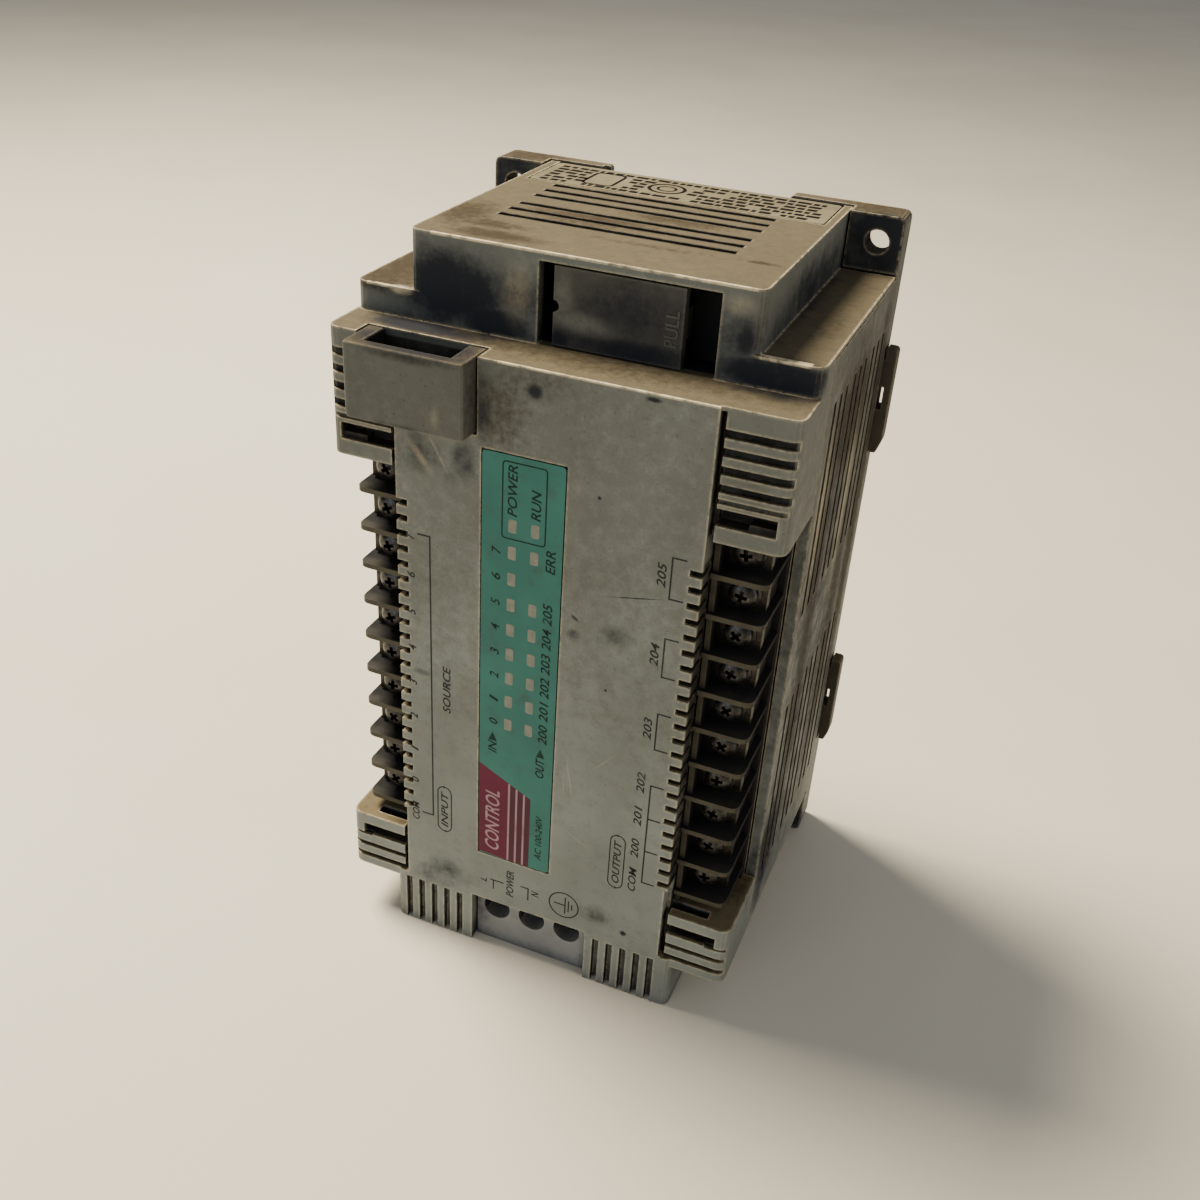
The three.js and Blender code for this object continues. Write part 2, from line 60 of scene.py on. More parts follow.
def at(x, y, z):
    """A point in the controller's millimetres, as a row-frame vector in metres."""
    return Vector((MIDDLE + x * MM, PANEL + y * MM, z * MM))


def extent(node):
    """A node's lowest and highest corners in the controller's millimetres."""
    low, high = (Vector(corner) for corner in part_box(node))
    shift = Vector((MIDDLE, PANEL, 0))
    return (low - shift) / MM, (high - shift) / MM


def centre(node):
    low, high = extent(node)
    return (low + high) / 2


LABEL_LOW, LABEL_HIGH = extent("indicator_label")
RATING_LOW, RATING_HIGH = extent("rating_label")
TERMINALS = [f"{number:02d}" for number in range(1, 11)]
ROWS = [centre(f"output_screw_{number}").z for number in TERMINALS]
LED_TOP, LED_PITCH = 97.2, 5.08
LED_COLUMNS = (-5.6, -1.5)
# ends of the side slots along z, with the painted shade round them
VENT_ROWS = ((20.1, 61.4), (80.2, 120.9))


def vent_run(start, number):
    """Places of the slots: groups of three, 4.1 mm apart, one group every 14.4 mm."""
    return [start + 4.1 * (slot % 3) + 14.4 * (slot // 3) for slot in range(number)]


def rgb(red, green, blue):
    """An 8-bit colour as the linear colour that sockets take."""
    def linear(value):
        value /= 255
        return value / 12.92 if value <= 0.04045 else ((value + 0.055) / 1.055) ** 2.4
    return (linear(red), linear(green), linear(blue), 1.0)


# ------------------------------------------------------------------ material graphs
# The Mix node numbers its sockets for every data type in one row; these are the colour ones.
MIX_COLOUR_INPUTS = (0, 6, 7)
MIX_COLOUR_OUTPUT = 2


class Graph:
    """Builds one material node by node. Each method adds nodes and gives back the output socket."""

    def __init__(self, name):
        self.material = bpy.data.materials.new(name)
        self.material.use_nodes = True
        self.tree = self.material.node_tree
        self.shader = self.tree.nodes["Principled BSDF"]
        raw = self.node("TexCoord", {}, "Object")
        scaled = self.node("VectorMath", {0: raw, "Scale": 1 / MM}, operation="SCALE")
        shift = (MIDDLE / MM, PANEL / MM, 0)
        self.place = self.node("VectorMath", {0: scaled, 1: shift}, operation="SUBTRACT")

    def node(self, kind, sockets, out=0, **settings):
        made = self.tree.nodes.new("ShaderNode" + kind)
        for key, value in settings.items():
            setattr(made, key, value)
        for key, value in sockets.items():
            self.feed(made.inputs[key], value)
        return made.outputs[out]

    def feed(self, socket, value):
        if isinstance(value, bpy.types.NodeSocket):
            self.tree.links.new(value, socket)
        else:
            socket.default_value = value

    def maths(self, operation, a, b=0.0):
        return self.node("Math", {0: a, 1: b}, operation=operation, use_clamp=True)

    def times(self, *factors):
        product = factors[0]
        for factor in factors[1:]:
            product = self.maths("MULTIPLY", product, factor)
        return product

    def most(self, *values):
        top = values[0]
        for value in values[1:]:
            top = self.maths("MAXIMUM", top, value)
        return top

    def noise(self, size, detail=3.0, roughness=0.55, stretch=(1, 1, 1), shift=0.0):
        """Noise whose largest features are about size millimetres, longer along a stretched axis."""
        scale = tuple(1 / (size * part) for part in stretch)
        offset = (shift, shift * 0.7, shift * 1.3)
        moved = self.node("VectorMath", {0: self.place, 1: offset}, operation="ADD")
        spread = self.node("VectorMath", {0: moved, 1: scale}, operation="MULTIPLY")
        sockets = {"Vector": spread, "Scale": 1.0, "Detail": detail, "Roughness": roughness}
        return self.node("TexNoise", sockets)

    def level(self, value, low, high, to_low=0.0, to_high=1.0):
        """A smooth step from to_low at low to to_high at high."""
        sockets = {"Value": value, "From Min": low, "From Max": high, "To Min": to_low, "To Max": to_high}
        return self.node("MapRange", sockets, interpolation_type="SMOOTHSTEP")

    def mix(self, factor, a, b):
        """Colour a where the factor is 0, colour b where it is 1."""
        made = self.tree.nodes.new("ShaderNodeMix")
        made.data_type = "RGBA"
        for socket, value in zip(MIX_COLOUR_INPUTS, (factor, a, b)):
            self.feed(made.inputs[socket], value)
        return made.outputs[MIX_COLOUR_OUTPUT]

    def plus(self, a, b):
        """A sum that may pass 1."""
        return self.node("Math", {0: a, 1: b}, operation="ADD")

    def spot(self, middle, radii, strength, turn=0):
        """A soft spot round a point in millimetres, turned by degrees about Y."""
        off = self.node("VectorMath", {0: self.place, 1: middle}, operation="SUBTRACT")
        if turn:
            sockets = {"Vector": off, "Angle": math.radians(turn)}
            off = self.node("VectorRotate", sockets, rotation_type="Y_AXIS")
        scaled = self.node("VectorMath", {0: off, 1: tuple(1 / r for r in radii)}, operation="MULTIPLY")
        distance = self.node("VectorMath", {0: scaled}, "Value", operation="LENGTH")
        return self.level(distance, 1.5, 0.1, 0.0, strength)

    def spots(self, places):
        """How thickly something lies, from soft spots."""
        return self.most(0.0, *(self.spot(*place) for place in places))

    def coat(self, density, grain, swing=1.3):
        """Where dirt of a density shows, broken up by a grain: patchy at 0.5, nearly whole at 1."""
        ragged = self.node("Math", {0: grain, 1: swing, 2: -0.5 * swing}, operation="MULTIPLY_ADD")
        return self.level(self.plus(density, ragged), 0.12, 0.95)

    def boxes(self, ranges, blur=0.5):
        """1 inside any of the boxes given by their ranges along x, y and z in millimetres."""
        places = [self.node("SeparateXYZ", {0: self.place}, axis) for axis in "XYZ"]
        inside = 0.0
        for spans in ranges:
            sides = [self.times(self.level(along, low, low + blur), self.level(along, high, high - blur))
                     for along, (low, high) in zip(places, spans)]
            inside = self.most(inside, self.times(*sides))
        return inside

    def facing(self, x, y, z, low=0.3, high=0.9):
        """1 where the surface looks along a direction."""
        normal = self.node("TexCoord", {}, "Normal")
        dot = self.node("VectorMath", {0: normal, 1: (x, y, z)}, "Value", operation="DOT_PRODUCT")
        return self.level(dot, low, high)

    def crevice(self, distance, low=0.25, high=0.75):
        """1 deep in corners and slots, 0 out in the open."""
        open_sky = self.node("AmbientOcclusion", {"Distance": distance * MM}, "AO", samples=6)
        return self.level(open_sky, 1 - low, 1 - high)

    def edges(self, radius):
        """1 along sharp edges."""
        rounded = self.node("Bevel", {"Radius": radius * MM}, samples=4)
        flat = self.node("NewGeometry", {}, "Normal")
        dot = self.node("VectorMath", {0: rounded, 1: flat}, "Value", operation="DOT_PRODUCT")
        return self.level(dot, 0.995, 0.86)

    def bump(self, height, depth, normal=None):
        sockets = {"Height": height, "Distance": depth * MM, "Strength": 1.0}
        if normal is not None:
            sockets["Normal"] = normal
        return self.node("Bump", sockets)

    def finish(self, colour, roughness, normal=None, metallic=0.0, specular=0.5):
        self.feed(self.shader.inputs["Base Color"], colour)
        self.feed(self.shader.inputs["Roughness"], roughness)
        self.shader.inputs["Metallic"].default_value = metallic
        self.shader.inputs["Specular IOR Level"].default_value = specular
        if normal is not None:
            self.feed(self.shader.inputs["Normal"], normal)
        return self.material


# colour of sooty dirt, also used for painted shade in corners
SOOT_AND_SHADE = rgb(38, 40, 47)
BROWN = rgb(60, 51, 38)
SAND = rgb(120, 103, 68)
SHADED_SAND = rgb(76, 65, 44)
DUST = rgb(158, 148, 124)
GREY_VEIL = rgb(80, 78, 70)
# painted shade for grooves and slots
GROOVE_SHADE = rgb(42, 40, 38)
# painted near-black shade for recesses and inner walls
INSIDE_SHADE = rgb(36, 36, 38)


def moulded_plastic(name, pale, dark, wear_and_highlight, soot_and_shade=(), brown=(), rubbed=(), grime=0.5, top=0.85, edge_wear_and_highlight=0.8,
                    shaded_grooves=(), shade_boxes=(), bright=(), shift=0.0):
    """Fine-textured moulded plastic that has aged: sandy on top, sooty and painted with shade in its corners,
    scuffed pale and painted with a highlight along its edges.

    The three spot lists hold, in order, sooty dirt with painted shade, brown dust and rubbed patches. The
    three box lists hold, in order, channels and slots painted with shade, recesses and inner walls painted
    near-black shade, and edges painted with a highlight over their scuffing.
    """
    g = Graph(name)
    tone = g.level(g.noise(26, 3, shift=shift), 0.3, 0.7)
    grain = g.noise(5.5, 9, 0.74, shift=shift + 3)
    sand = g.noise(1.5, 7, 0.75, shift=shift + 9)
    colour = g.mix(tone, pale, dark)
    up = g.facing(0, 0, 1, 0.25, 0.75)
    colour = g.mix(g.times(up, top), colour, SAND)
    colour = g.mix(g.times(up, g.coat(0.4, sand), 0.75 * top), colour, SHADED_SAND)
    fine = g.noise(2.4, 8, 0.8, shift=shift + 13)
    height = g.node("SeparateXYZ", {0: g.place}, "Z")
    # a grey veil, thicker from 30 mm up towards the top, broken up by clouds and fine grain
    cloud = g.level(g.noise(14, 5, 0.65, shift=shift + 31), 0.35, 0.7, 0.0, 0.14)
    veil = g.coat(g.plus(g.level(height, 30, 125, 0.14, 0.8), cloud), fine, 2.0)
    colour = g.mix(g.times(veil, grime), colour, GREY_VEIL)
    specks = g.level(g.noise(0.6, 3, 0.6, shift=shift + 5), 0.64, 0.74)
    colour = g.mix(g.times(specks, 0.8 * grime), colour, SOOT_AND_SHADE)
    brown_coat = g.coat(g.spots(brown), sand)
    colour = g.mix(g.times(brown_coat, 0.85), colour, BROWN)
    # painted shade deep in corners and slots, weaker on faces that look up, merged with the sooty spots
    corner = g.times(g.crevice(6.0, 0.2, 0.8), g.level(up, 0, 1, 1.0, 0.25))
    soot_and_shade_coat = g.coat(g.most(g.spots(soot_and_shade), corner), grain)
    colour = g.mix(g.times(soot_and_shade_coat, 0.94), colour, SOOT_AND_SHADE)
    colour = g.mix(g.times(g.spots(rubbed), g.level(sand, 0.3, 0.6, 0.4, 1.0)), colour, wear_and_highlight)
    # edges lightened by scuffing and by a painted highlight, more on edges that look up
    rim = g.times(g.edges(0.8), g.level(sand, 0.36, 0.56), g.level(up, 0, 0.4, 0.55 * edge_wear_and_highlight, edge_wear_and_highlight))
    colour = g.mix(rim, colour, wear_and_highlight)
    # a painted highlight over scuffing on the edges inside the bright boxes
    scuff = g.noise(2.4, 5, 0.7, shift=shift + 41)
    painted_edge_highlight = g.times(g.boxes(bright, 0.3), g.level(scuff, 0.34, 0.6, 0.1, 1.0))
    colour = g.mix(painted_edge_highlight, colour, wear_and_highlight)
    # painted shade in grooves and round slots
    colour = g.mix(g.times(g.boxes(shaded_grooves), g.level(grain, 0.3, 0.6, 0.6, 0.95)), colour, GROOVE_SHADE)
    # painted near-black shade on recesses and inner walls
    colour = g.mix(g.boxes(shade_boxes, 0.14), colour, INSIDE_SHADE)
    dirt = g.most(g.times(veil, 0.5), soot_and_shade_coat, g.times(brown_coat, 0.8), g.times(up, 0.5))
    normal = g.bump(g.noise(0.32, 2, 0.5), 0.018)
    normal = g.bump(sand, 0.03, normal)
    return g.finish(colour, g.level(dirt, 0.0, 1.0, 0.52, 0.85), normal, specular=0.08)


CASE_PALE = rgb(134, 140, 136)
CASE_DARK = rgb(117, 122, 117)
# pale colour of scuffed edges, also used for painted edge highlights
CASE_WEAR_AND_HIGHLIGHT = rgb(228, 213, 176)


def case_front_material():
    """The front case: smudges on the panel, sooty dirt with painted shade on the step walls, brown dust on the
    top, painted shade in its grooves and insides, painted highlights along its front edges.
    """
    soot_and_shade = [
        ((-2.3, 0, 121.5), (1.7, 1, 1.5), 1.0),
        ((-11.0, 0, 114), (1.8, 3, 10), 0.5),
        ((-14.7, 0, 107.2), (3.4, 2, 4.5), 0.6),
        ((-22.7, 0, 107), (6, 2, 4.5), 0.55),
        ((-16.8, 0, 103.4), (2.6, 1, 4.5), 0.32),
        ((-18, 0, 61.5), (1.4, 1, 1.6), 0.5),
        ((-22.6, 0, 62.8), (3, 1, 0.9), 0.5),
        ((6.3, 0, 82.8), (1.1, 1, 0.45), 0.9, -35),
        ((6.2, 0, 79.6), (1.6, 1, 1.3), 0.6),
        ((14, 0, 81.6), (5, 1, 3), 0.42),
        ((19.7, 0, 15.4), (0.7, 1, 0.7), 1.2),
        ((14, 0, 18), (4.5, 1, 3), 0.5),
        ((17, 0, 124.3), (1.6, 1, 0.5), 1.0),
        ((9.4, 0, 106.1), (0.4, 1, 0.4), 0.9),
        ((12.7, 0, 70), (0.4, 1, 0.4), 0.9),
        ((16.6, 0, 89.6), (6.6, 1, 0.14), 0.8, 12),
        ((-19, 0, 15.5), (9, 2, 6), 0.5),
        # painted shade with sooty dirt over the whole step wall
        ((0, 10.1, 132.4), (70, 1.3, 5.8), 0.66),
        ((-22.5, 10.1, 131.8), (12, 3.0, 7.5), 1.15),
        ((-15, 10.1, 127.4), (9, 3.0, 3.4), 1.0),
        ((27.3, 10.1, 132.0), (2.6, 3.0, 3.6), 0.85),
        ((33, 10.1, 127.6), (11, 4.0, 3.4), 1.2),
        ((-26, 7.6, 125.3), (13, 3.6, 1.2), 1.1),
        # painted shade with sooty dirt along the back of the ledge, at the foot of the step wall
        ((0, 9.6, 125.3), (34, 1.4, 1.2), 0.3),
        ((30, 40, 133), (2.4, 26, 6), 0.75),
        ((31, 44, 130.2), (2.0, 26, 1.2), 0.35),
    ]
    brown = [
        ((-8, 0, 117), (6.5, 2, 10), 0.6),
        ((-3, 0, 122.8), (11, 2, 3.4), 0.5),
        ((5, 0, 125), (40, 2, 22), 0.2),
        ((40, 30, 70), (2, 30, 90), 0.3),
        ((4, 6.6, 125.3), (40, 6.0, 1.4), 0.5),
        ((-16.5, 14.2, 140.3), (10, 3.2, 1.8), 0.95),
        ((-26.5, 24, 140.3), (5.5, 9, 1.8), 0.85),
        ((-20, 19.6, 140.3), (9, 3.0, 1.8), 0.8),
        ((-7, 31.2, 140.3), (14, 5, 1.8), 0.8),
        ((6, 38.5, 140.3), (12, 3.6, 1.8), 0.75),
        ((25, 23.1, 140.3), (3.6, 1.0, 1.2), 0.9),
        ((6, 22.0, 140.3), (15, 1.4, 1.2), 0.5),
        ((36, 28, 130.2), (4.0, 8, 1.2), 0.4),
        ((36.5, 50, 130.2), (4, 9, 1.2), 0.2),
        ((-36, 22, 130.2), (9, 28, 2.0), 0.85),
        ((29.5, 11, 135), (2, 2.4, 7), 0.5),
        ((-33, 5, 115), (6, 6, 12), 0.4),
        ((33, 2, 112), (8, 3, 9), 0.4),
        ((37, 13, 60), (6, 7, 50), 1.0),
        ((-37, 13, 60), (6, 7, 50), 0.8),
    ]
    rubbed = [
        ((6.9, 0, 48.5), (0.12, 1, 4.2), 0.24, 10),
        ((5.8, 0, 46.6), (0.10, 1, 3.2), 0.2, 4),
        ((13.2, 0, 54.4), (0.10, 1, 3.0), 0.2, -40),
        ((-22.7, 0, 106), (0.7, 1, 3.2), 0.22, 38),
        ((-19.5, 0, 107.5), (0.3, 1, 3.0), 0.2, 30),
        ((19, 0, 36), (0.10, 1, 2.2), 0.2, -20),
        ((9, 0, 35), (0.10, 1, 3.0), 0.2, 62),
        ((-31.5, 10.1, 129.9), (2.0, 1.4, 0.8), 0.8),
        ((26, 10.1, 137.5), (2.2, 1, 1.6), 0.2),
        ((-10.5, 10.1, 133), (2.6, 1, 5.0), 0.22),
    ]
    # painted shade in the notches and grooves behind the panel's face, in the end blocks' flutes and round the
    # top's slots
    shaded_grooves = [
        ((-29.5, 29.5), (0.4, 9), (29.4, 98.6)),
        ((-39.4, 39.4), (1.1, 9), (103.2, 124.3)),
        ((-37.8, 37.8), (1.1, 9), (10.8, 23.2)),
    ]
    shaded_grooves += [((-22, 20.4), (y - 1.3, y + 1.3), (138, 142)) for y in vent_run(26.2, 6)]
    # painted near-black shade on the case's insides, seen through its openings and top slots
    shade_boxes = [((-28.4, 28.4), (12, 67), (1.0, 139.9)), ((-22, 20.4), (24, 50), (130, 140.0))]
    # painted highlights over scuffing along the front edges of the top, the ledge and the shoulders
    bright = [
        ((-26, 28.6), (9.8, 10.75), (139.8, 140.8)),
        ((-9, 38), (-0.3, 0.55), (124.9, 125.8)),
        ((29.5, 38), (9.8, 11.6), (129.7, 130.7)),
        ((-38, -31), (9.8, 10.9), (129.7, 130.7)),
    ]
    return moulded_plastic("case_front_plastic", CASE_PALE, CASE_DARK, CASE_WEAR_AND_HIGHLIGHT, soot_and_shade, brown, rubbed,
                           shaded_grooves=shaded_grooves, shade_boxes=shade_boxes, bright=bright)


def case_rear_material():
    """The rear base: dirtier on its right-hand side and in the ears' recesses, painted with shade in and round
    its side slots.
    """
    soot_and_shade = [
        ((40, 24, 26), (4, 9, 16), 1.0),
        ((40, 60, 112), (3, 7, 20), 0.6),
        ((40, 36, 70), (3, 34, 90), 0.55),
        ((37, 62.3, 137), (9, 1.2, 9), 1.1),
        ((-37, 62.3, 137), (9, 1.2, 9), 0.85),
        ((37, 62.3, 4), (9, 1.2, 7), 0.7),
        ((-37, 62.3, 4), (9, 1.2, 7), 0.7),
    ]
    brown = [
        ((40, 40, 112), (4, 18, 14), 1.0),
        ((40, 30, 72), (4, 7, 55), 0.8),
        ((40, 52, 60), (4, 9, 50), 0.8),
        ((40, 62, 80), (4, 6, 60), 0.9),
        ((-40, 40, 60), (4, 20, 40), 0.45),
        ((0, 67, 60), (34, 4, 50), 0.4),
        ((34, 66, 140.6), (10, 8, 1.5), 0.75),
        ((-34, 66, 140.6), (10, 8, 1.5), 0.75),
    ]
    rubbed = [((40, 24, 100), (2, 4, 14), 0.4), ((40, 46, 92), (2, 3, 16), 0.4)]
    # painted near-black shade on the inner walls of the side slots
    shade_boxes = [((-39.88, 39.88), (18.4, 62.2), (10.6, 129.8))]
    # painted dark bands of shade round the side slots
    shaded_vents = [((-41, 41), (y - 1.2, y + 1.2), ends) for y in vent_run(22.6, 9) for ends in VENT_ROWS]
    return moulded_plastic("case_rear_plastic", CASE_PALE, CASE_DARK, CASE_WEAR_AND_HIGHLIGHT, soot_and_shade, brown, rubbed,
                           grime=0.65, shaded_grooves=shaded_vents, shade_boxes=shade_boxes, shift=40)


def hood_material():
    """The loader port's hood: cooler than the case, sooted on top, painted with shade inside its opening."""
    soot_and_shade = [((-24, -4.5, 112.6), (8, 1.5, 0.8), 0.6), ((-23, 0, 125.3), (15, 7, 1.8), 0.9)]
    brown = [((-12.6, 0, 119), (0.8, 6, 12), 0.5), ((-23, -4.5, 124.5), (12, 1.2, 1.0), 0.5),
             ((-23, 0, 125.3), (16, 7, 0.8), 0.9)]
    rubbed = [((-17.5, -4.5, 115.5), (0.8, 1, 2.0), 0.25)]
    # painted shade inside the hood's opening
    shade_boxes = [((-31.6, -15.4), (-2.6, 5), (110, 125.0))]
    pale, dark = rgb(112, 116, 113), rgb(100, 104, 101)
    return moulded_plastic("hood_plastic", pale, dark, rgb(176, 166, 140), soot_and_shade, brown, rubbed,
                           grime=0.6, edge_wear_and_highlight=0.45, shade_boxes=shade_boxes, shift=80)


def cover_material():
    """The expansion cover: darker than the case, with a wiped crescent near its left end."""
    soot_and_shade = [((9, 10, 134), (13, 3, 7), 0.65), ((8, 10, 127), (14, 3, 2.6), 0.85),
            ((-4, 10, 126.6), (4, 3, 2.5), 0.85)]
    rubbed = [((0.6, 10, 130.0), (5.6, 2, 1.6), 0.95, -6), ((-2.6, 10, 133.6), (1.8, 2, 4), 0.7)]
    pale, dark = rgb(88, 88, 85), rgb(74, 74, 72)
    return moulded_plastic("cover_plastic", pale, dark, rgb(118, 117, 108), soot_and_shade, (), rubbed, shift=120)


def power_block_material():
    """The cooler, smoother moulding round the power terminals."""
    # painted shade on the left of the wall and along its top under the panel's overhang, and a darker spot low
    # on its right
    soot_and_shade = [((-12, 2, 5), (4, 5, 9), 0.45), ((0, 2, 11.9), (14, 4, 1.6), 0.5), ((11, 2, 3), (2, 3, 5), 0.4)]
    pale, dark = rgb(146, 148, 147), rgb(126, 128, 128)
    return moulded_plastic("power_block_plastic", pale, dark, rgb(170, 172, 172), soot_and_shade, top=0.2, edge_wear_and_highlight=0.4,
                           shift=160)


def terminal_material():
    """The terminal strips: sooty and painted with shade, darker deeper in and in the corners, lighter on the
    fins' front faces and edges.
    """
    g = Graph("terminal_plastic")
    grain = g.noise(3.4, 8, 0.72, shift=7)
    base = g.mix(g.level(g.noise(9, 4), 0.35, 0.7), rgb(62, 59, 51), rgb(50, 48, 42))
    # painted shade with sooty dirt: darker deeper into the strip and in its corners
    corner = g.crevice(6.0, 0.1, 0.6)
    depth = g.node("SeparateXYZ", {0: g.place}, "Y")
    deep = g.level(depth, 4.0, 7.5, 0.3, 1.0)
    coat = g.coat(g.most(deep, g.times(corner, 1.1)), grain, 1.2)
    colour = g.mix(g.times(coat, 0.9), base, rgb(30, 30, 32))
    # lighter on front faces and along edges near the front
    nose = g.times(g.facing(0, -1, 0, 0.4, 0.9), g.level(depth, 5.4, 4.2))
    colour = g.mix(g.times(nose, g.level(grain, 0.32, 0.6, 0.1, 0.7)), colour, rgb(84, 80, 66))
    rim = g.times(g.edges(0.45), g.level(depth, 7.0, 4.5, 0.05, 0.45))
    colour = g.mix(rim, colour, rgb(80, 76, 63))
    normal = g.bump(g.noise(0.35, 2, 0.5), 0.02)
    normal = g.bump(grain, 0.05, normal)
    return g.finish(colour, g.level(coat, 0, 1, 0.55, 0.85), normal, specular=0.18)


def latch_material():
    """The rail latches: brown-grey."""
    pale, dark = rgb(96, 91, 76), rgb(74, 70, 59)
    return moulded_plastic("latch_plastic", pale, dark, rgb(150, 142, 116), grime=0.6, top=0.3, edge_wear_and_highlight=0.6)


def satin_film(name, colour, shade, dirt=0.5, gloss=0.5):
    """Printed polyester film with fine scuffs and a dusting of dirt."""
    g = Graph(name)
    base = g.mix(g.level(g.noise(16, 3), 0.3, 0.7), colour, shade)
    scuff = g.level(g.noise(3.4, 6, 0.7, shift=11), 0.5, 0.75)
    base = g.mix(g.times(scuff, dirt), base, rgb(74, 78, 70))
    specks = g.level(g.noise(0.8, 2, 0.5, shift=5), 0.7, 0.76)
    base = g.mix(g.times(specks, 0.6 * dirt), base, SOOT_AND_SHADE)
    # painted shade along the film's edges and beside raised parts
    rim = g.crevice(1.2, 0.3, 0.8)
    base = g.mix(g.times(rim, 0.5), base, rgb(38, 48, 44))
    normal = g.bump(g.noise(0.5, 2), 0.004)
    return g.finish(base, g.level(scuff, 0, 1, gloss, 0.7), normal, specular=0.15)


def worn_ink(name, colour, under, cover=0.85):
    """Screen-printed ink, thin and rubbed, over a colour that shows through it."""
    g = Graph(name)
    rub = g.level(g.noise(1.1, 5, 0.7, shift=31), 0.6, 0.78)
    big = g.level(g.noise(7, 3, 0.6, shift=13), 0.5, 0.8, 0.0, 0.4)
    thin = g.level(g.most(rub, big), 0, 1, 1 - cover, 1.0)
    return g.finish(g.mix(thin, colour, under), 0.7, g.bump(g.noise(0.4), 0.006), specular=0.1)


def window_material():
    """Milky light-guide windows, unlit."""
    g = Graph("light_window")
    tone = g.mix(g.level(g.noise(1.6, 3), 0.35, 0.65), rgb(116, 118, 108), rgb(96, 106, 98))
    # painted shade round the windows' edges
    rim = g.crevice(0.8, 0.3, 0.9)
    return g.finish(g.mix(g.times(rim, 0.6), tone, rgb(72, 84, 78)), 0.3, g.bump(g.noise(0.6), 0.01))


def board_material():
    """Green solder mask over copper tracks, with pale silk-screen specks."""
    g = Graph("circuit_board")
    weave = g.node("TexVoronoi", {"Vector": g.place, "Scale": 0.45}, "Distance", feature="DISTANCE_TO_EDGE")
    track = g.level(weave, 0.12, 0.07)
    colour = g.mix(g.level(g.noise(12), 0.3, 0.7), rgb(22, 78, 42), rgb(16, 60, 34))
    colour = g.mix(g.times(track, 0.7), colour, rgb(44, 118, 62))
    pads = g.node("TexVoronoi", {"Vector": g.place, "Scale": 0.39}, "Distance")
    colour = g.mix(g.level(pads, 0.16, 0.12), colour, rgb(176, 172, 158))
    return g.finish(colour, 0.35, g.bump(track, 0.05))


def dark_moulding(name, colour, rough):
    """Black or dark filled plastic of connectors, relays and chips."""
    g = Graph(name)
    tone = g.mix(g.level(g.noise(6, 4), 0.3, 0.7), colour, rgb(44, 44, 46))
    dust = g.times(g.facing(0, 0, 1), g.level(g.noise(1.8, 5, 0.6), 0.4, 0.7))
    tone = g.mix(g.times(dust, 0.5), tone, DUST)
    rim = g.times(g.edges(0.4), 0.4)
    tone = g.mix(rim, tone, rgb(92, 92, 92))
    return g.finish(tone, g.level(dust, 0, 1, rough, 0.8), g.bump(g.noise(0.25), 0.012))


def lamination_material():
    """Varnished transformer: stacked laminations with a wound bobbin's amber tape."""
    g = Graph("transformer_stack")
    height = g.node("SeparateXYZ", {0: g.place}, "Y")
    stack = g.node("Math", {0: height, 1: 9.0}, operation="MULTIPLY")
    leaf = g.level(g.node("Math", {0: stack}, operation="SINE"), -0.4, 0.6)
    iron = g.mix(leaf, rgb(58, 52, 46), rgb(104, 98, 88))
    amber = g.mix(g.level(g.noise(4), 0.3, 0.7), rgb(176, 122, 44), rgb(140, 92, 34))
    colour = g.mix(g.level(height, 37.6, 38.2), amber, iron)
    return g.finish(colour, 0.45, g.bump(leaf, 0.08))


def can_material():
    """An electrolytic capacitor's shrunk sleeve."""
    g = Graph("capacitor_sleeve")
    streak = g.noise(3, 4, stretch=(1, 6, 1))
    colour = g.mix(g.level(streak, 0.35, 0.7), rgb(34, 58, 108), rgb(24, 40, 78))
    return g.finish(colour, g.level(streak, 0.3, 0.7, 0.3, 0.5), g.bump(streak, 0.05))


def steel_material(name, bright, tarnish, corrosion):
    """Plated steel gone dull, with sooty dirt and painted shade in its recesses."""
    g = Graph(name)
    cloud = g.noise(1.6, 5, 0.65, shift=3)
    colour = g.mix(g.level(cloud, 0.3, 0.65), bright, tarnish)
    rust = g.level(g.noise(0.9, 4, 0.6, shift=23), 0.58, 0.72)
    colour = g.mix(g.times(rust, corrosion), colour, rgb(74, 54, 40))
    # sooty dirt and painted shade in the recesses
    corner = g.crevice(1.6, 0.15, 0.7)
    colour = g.mix(g.times(corner, 0.9), colour, rgb(16, 16, 18))
    roughness = g.level(g.most(corner, rust), 0, 1, 0.34, 0.7)
    return g.finish(colour, roughness, g.bump(cloud, 0.02), metallic=0.85)


def floor_material():
    """Plain warm paper."""
    g = Graph("floor_paper")
    tone = g.mix(g.level(g.noise(160, 3), 0.3, 0.7), rgb(234, 226, 208), rgb(228, 219, 200))
    return g.finish(tone, 0.75, g.bump(g.noise(1.2, 3), 0.01))


# ------------------------------------------------------------------ moulded edges
def soften(node, width):
    """Rounds a CAD node's sharp edges, as a mould leaves them."""
    piece = NODES[node]
    weld = piece.modifiers.new("weld", "WELD")
    weld.merge_threshold = 0.00001
    flat = piece.modifiers.new("flat", "DECIMATE")
    flat.decimate_type = "DISSOLVE"
    flat.angle_limit = math.radians(0.6)
    bevel = piece.modifiers.new("bevel", "BEVEL")
    bevel.width = width * MM
    bevel.segments = 2
    bevel.limit_method = "ANGLE"
    bevel.angle_limit = math.radians(35)
    bevel.use_clamp_overlap = True
    bevel.harden_normals = True


def paint(piece, *materials):
    """Gives a piece its materials in order, in place of any that it has, and keeps its faces' choices."""
    slots = piece.data.materials
    for index, material in enumerate(materials):
        if index < len(slots):
            slots[index] = material
        else:
            slots.append(material)


